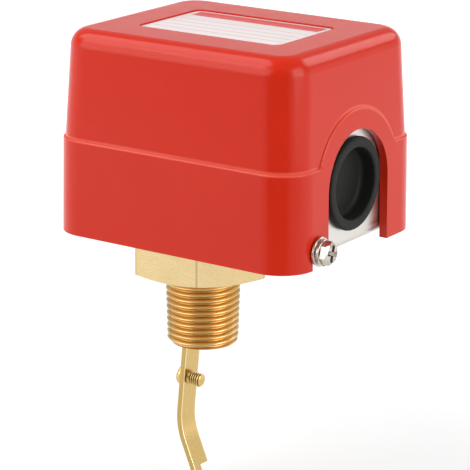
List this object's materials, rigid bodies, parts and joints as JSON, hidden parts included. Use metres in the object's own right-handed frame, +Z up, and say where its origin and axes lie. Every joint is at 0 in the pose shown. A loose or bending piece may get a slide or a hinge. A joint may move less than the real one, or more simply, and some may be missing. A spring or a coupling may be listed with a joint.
{
  "type": "paddle flow switch",
  "caption": "Paddle flow switch: red cover over a microswitch, range spring and sealed lever, brass hex body with male half-inch pipe thread and a curved paddle arm.",
  "frame": {"origin": "on the axis of the pipe thread, at the shoulder where the thread meets the hexagon", "axes": "+Z up along the pipe thread's axis, out of the pipe; +X towards the cable entry, and the way the water flows; +Y across the pipe"},
  "size_m": [0.0886, 0.0654, 0.1329],
  "materials": {
    "brass": "satin turned brass",
    "arm_brass": "satin rolled brass",
    "bellows_brass": "bright thin brass",
    "terminal_brass": "bright stamped brass",
    "zinc_screw": "zinc plated",
    "zinc_steel": "zinc plated sheet, fine grain",
    "steel_pin": "ground steel",
    "spring_steel": "drawn wire",
    "nickel": "nickel plated",
    "rubber": "smooth moulded rubber",
    "cover_red": "gloss red",
    "label": "printed film",
    "insulation": "pressboard",
    "black_plastic": "moulded thermoset",
    "plunger_plastic": "moulded plastic",
    "ground_green": "green passivated"
  },
  "bodies": {
    "base": {"brass_body": "brass", "body_screws": "zinc_screw", "bellows_flange": "brass", "flange_o_ring": "rubber", "bellows": "bellows_brass", "pivot_pin": "steel_pin", "cover_screws": "nickel", "cover_flat_washers": "nickel", "cover_spring_washers": "nickel", "base_frame": "zinc_steel", "conduit_grommet": "rubber", "range_bracket": "zinc_steel", "range_bracket_screws": "zinc_screw", "switch_bracket": "zinc_steel", "switch_bracket_screws": "zinc_screw", "insulating_sheet": "insulation", "microswitch_case": "black_plastic", "microswitch_screws": "zinc_screw", "terminal_common": "terminal_brass", "terminal_normally_open": "terminal_brass", "terminal_normally_closed": "terminal_brass", "terminal_screws": "zinc_screw", "ground_washer": "nickel", "ground_screw": "ground_green"},
    "cover": {"cover": "cover_red", "label_plate": "label"},
    "lever": {"lever_rod": "brass", "bellows_cap": "brass", "lever_plate": "zinc_steel", "lever_nut": "zinc_screw", "paddle_arm": "arm_brass", "paddle_screw": "arm_brass"},
    "plunger": {"microswitch_plunger": "plunger_plastic"},
    "range_screw": {"range_screw": "arm_brass", "range_screw_clip": "steel_pin"},
    "spring_seat": {"spring_seat_nut": "brass", "range_spring": "spring_steel"}
  },
  "joints": [
    {"name": "cover_lift", "type": "slide", "parent": "base", "child": "cover", "axis": [0, 0, 1], "range_m": [0, 0.07]},
    {"name": "lever_pivot", "type": "hinge", "parent": "base", "child": "lever", "pos_m": [0, 0, 0.021], "axis": [0, -1, 0], "range_deg": [0, 8], "stiffness_Nm_per_rad": 0.11, "springref_deg": -17.19, "deforming": ["bellows", "range_spring"]},
    {"name": "plunger_travel", "type": "slide", "parent": "base", "child": "plunger", "axis": [0, 0, 1], "range_m": [0, 0.0016]},
    {"name": "range_turn", "type": "hinge", "parent": "base", "child": "range_screw", "pos_m": [-0.0225, 0, 0.036], "axis": [-1, 0, 0], "range_deg": [0, 1441]},
    {"name": "range_nut_slide", "type": "slide", "parent": "base", "child": "spring_seat", "axis": [1, 0, 0], "range_m": [0, 0.0028], "deforming": ["range_spring"]}
  ],
  "couplings": [
    {"joint": "plunger_travel", "follows": "lever_pivot", "m_per_rad": 0.0103},
    {"joint": "range_turn", "follows": "range_nut_slide", "rad_per_m": 8976}
  ]
}
